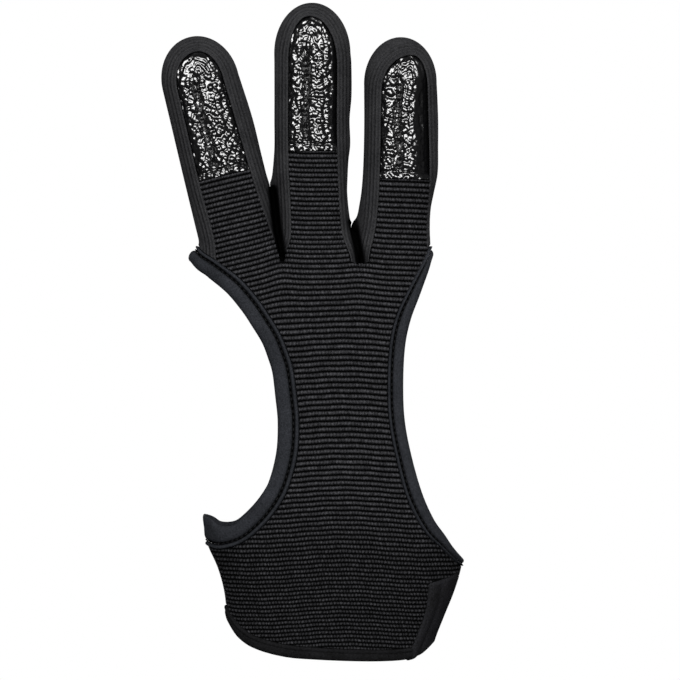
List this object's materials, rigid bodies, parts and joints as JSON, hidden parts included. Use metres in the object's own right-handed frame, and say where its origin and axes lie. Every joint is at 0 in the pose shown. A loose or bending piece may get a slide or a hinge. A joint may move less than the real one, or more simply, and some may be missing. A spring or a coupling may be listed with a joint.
{
  "type": "archery glove",
  "caption": "Archery glove for the drawing hand: closed finger sleeves with leather pads, ribbed palm, smooth back, open sides with bound edges, and a cuff with a wrist strap.",
  "frame": {"origin": "middle of the wrist inside the cuff, at the height of the hand's crease", "axes": "+Z from the wrist to the fingertips, +X towards the thumb's side, +Y out of the back of the hand, so the palm faces -Y"},
  "size_m": [0.0931, 0.0424, 0.2019],
  "materials": {
    "ribbed_elastic": "matte ribbed weave",
    "smooth_knit": "matte fine knit",
    "binding_knit": "matte fine knit",
    "strap_cloth": "matte woven",
    "pebbled_leather": "glossy pebble grain"
  },
  "bodies": {
    "root": {"palm_panel": "ribbed_elastic", "back_panel": "smooth_knit", "ring_finger_sleeve": "smooth_knit", "ring_finger_pad": "pebbled_leather", "middle_finger_sleeve": "smooth_knit", "middle_finger_pad": "pebbled_leather", "index_finger_sleeve": "smooth_knit", "index_finger_pad": "pebbled_leather", "little_finger_side_binding": "binding_knit", "thumb_side_binding": "binding_knit", "wrist_hem": "binding_knit", "wrist_strap": "strap_cloth"}
  },
  "joints": []
}
